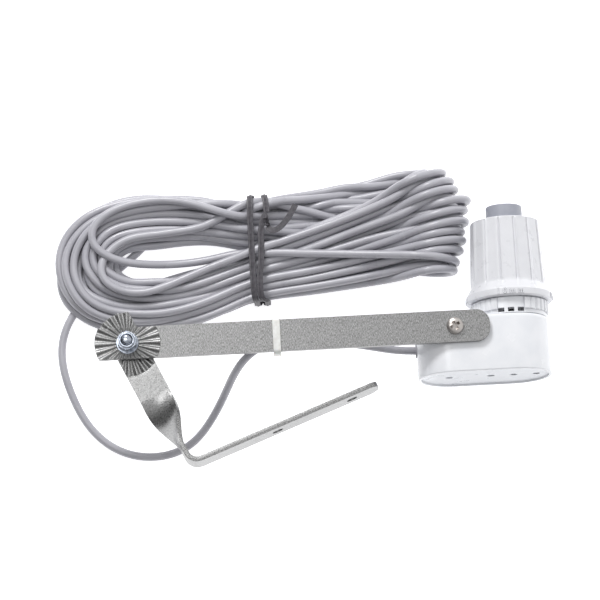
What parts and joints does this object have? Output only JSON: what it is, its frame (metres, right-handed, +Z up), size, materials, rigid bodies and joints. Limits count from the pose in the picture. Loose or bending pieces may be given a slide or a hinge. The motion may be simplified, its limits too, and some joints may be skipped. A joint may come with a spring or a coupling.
{
  "type": "rain sensor",
  "caption": "Rain sensor with a grooved dial cap, vent ring and test spindle on an obround housing, held by a flat swivel bracket, with a grey two-core lead tied in a hank.",
  "frame": {"origin": "on the surface that the part lies on, under the middle of the sensor and bracket", "axes": "+X along the arm from the knuckle to the head, +Y along the head towards the test spindle, +Z up, square to both bracket strips' flat lengths"},
  "size_m": [0.1993, 0.1204, 0.0421],
  "materials": {
    "leg_metal": "satin rolled aluminium, brighter at the twist",
    "arm_metal": "satin rolled aluminium with fine cross grain",
    "zinc_steel": "bright zinc plate",
    "screw_steel": "bright stainless, slightly warm",
    "tie_nylon": "matt natural nylon",
    "housing_plastic": "smooth moulded white",
    "cover_plastic": "smooth moulded off-white",
    "seal_rubber": "matt",
    "ring_plastic": "moulded white, fine ribs",
    "cap_plastic": "fine matt moulded pale grey",
    "spindle_plastic": "fine matt moulded pale grey",
    "inner_plastic": "matt",
    "spring_steel": "drawn wire",
    "switch_plastic": "matt phenolic",
    "button_plastic": "matt",
    "contact_brass": "plain",
    "cable_grey": "smooth soft PVC, slight sheen",
    "wire_black": "smooth PVC",
    "wire_white": "smooth PVC",
    "twist_tie": "dark grey twist tie, soft plastic over wire",
    "bare_copper": "stripped copper cores",
    "disc_fibre": "pressed absorbent fibre"
  },
  "bodies": {
    "bracket_leg": {"bracket_leg": "leg_metal"},
    "sensor": {"arm": "arm_metal", "knuckle_bolt": "zinc_steel", "knuckle_washer": "zinc_steel", "knuckle_nut": "zinc_steel", "arm_screw": "screw_steel", "arm_tie": "tie_nylon", "housing": "housing_plastic", "bottom_cover": "cover_plastic", "cover_seal": "seal_rubber", "sensor_base": "housing_plastic", "return_spring": "spring_steel", "switch_body": "switch_plastic", "switch_terminals": "contact_brass", "switch_screws": "zinc_steel", "cable_gland": "cable_grey", "cable_inner": "cable_grey", "wire_common": "wire_black", "wire_closed": "wire_white", "cable_lead": "cable_grey", "cable_hank": "cable_grey", "hank_tie": "twist_tie", "cable_ends": "bare_copper"},
    "cap": {"cap": "cap_plastic"},
    "vent_ring": {"vent_ring": "ring_plastic"},
    "spindle": {"test_spindle": "spindle_plastic", "spindle_presser": "inner_plastic", "moisture_disc_1": "disc_fibre", "moisture_disc_2": "disc_fibre", "moisture_disc_3": "disc_fibre", "moisture_disc_4": "disc_fibre", "moisture_disc_5": "disc_fibre", "moisture_disc_6": "disc_fibre"},
    "switch_lever": {"switch_lever": "spring_steel"},
    "switch_button": {"switch_button": "button_plastic"}
  },
  "joints": [
    {"name": "knuckle_swivel", "type": "hinge", "parent": "bracket_leg", "child": "sensor", "pos_m": [-0.078, -0.00085, 0.03275], "axis": [0, 0, 1], "range_deg": [-4, 275]},
    {"name": "cap_turn", "type": "hinge", "parent": "sensor", "child": "cap", "pos_m": [0.0734, 0.02915, 0.0174], "axis": [0, 1, 0], "range_deg": [-90, 180]},
    {"name": "vent_ring_turn", "type": "hinge", "parent": "sensor", "child": "vent_ring", "pos_m": [0.0734, 0.00815, 0.0174], "axis": [0, 1, 0], "range_deg": [0, 45]},
    {"name": "spindle_press", "type": "slide", "parent": "sensor", "child": "spindle", "axis": [0, -1, 0], "range_m": [0, 0.0025], "stiffness_N_per_m": 300, "springref_m": -0.001, "deforming": ["return_spring"]},
    {"name": "lever_press", "type": "hinge", "parent": "sensor", "child": "switch_lever", "pos_m": [0.0605, -0.00475, 0.0174], "axis": [0, 0, -1], "range_deg": [0, 12]},
    {"name": "button_press", "type": "slide", "parent": "sensor", "child": "switch_button", "axis": [0, -1, 0], "range_m": [0, 0.0008]}
  ],
  "couplings": [
    {"joint": "lever_press", "follows": "spindle_press", "rad_per_m": 76.8},
    {"joint": "button_press", "follows": "spindle_press", "ratio": 0.3}
  ]
}
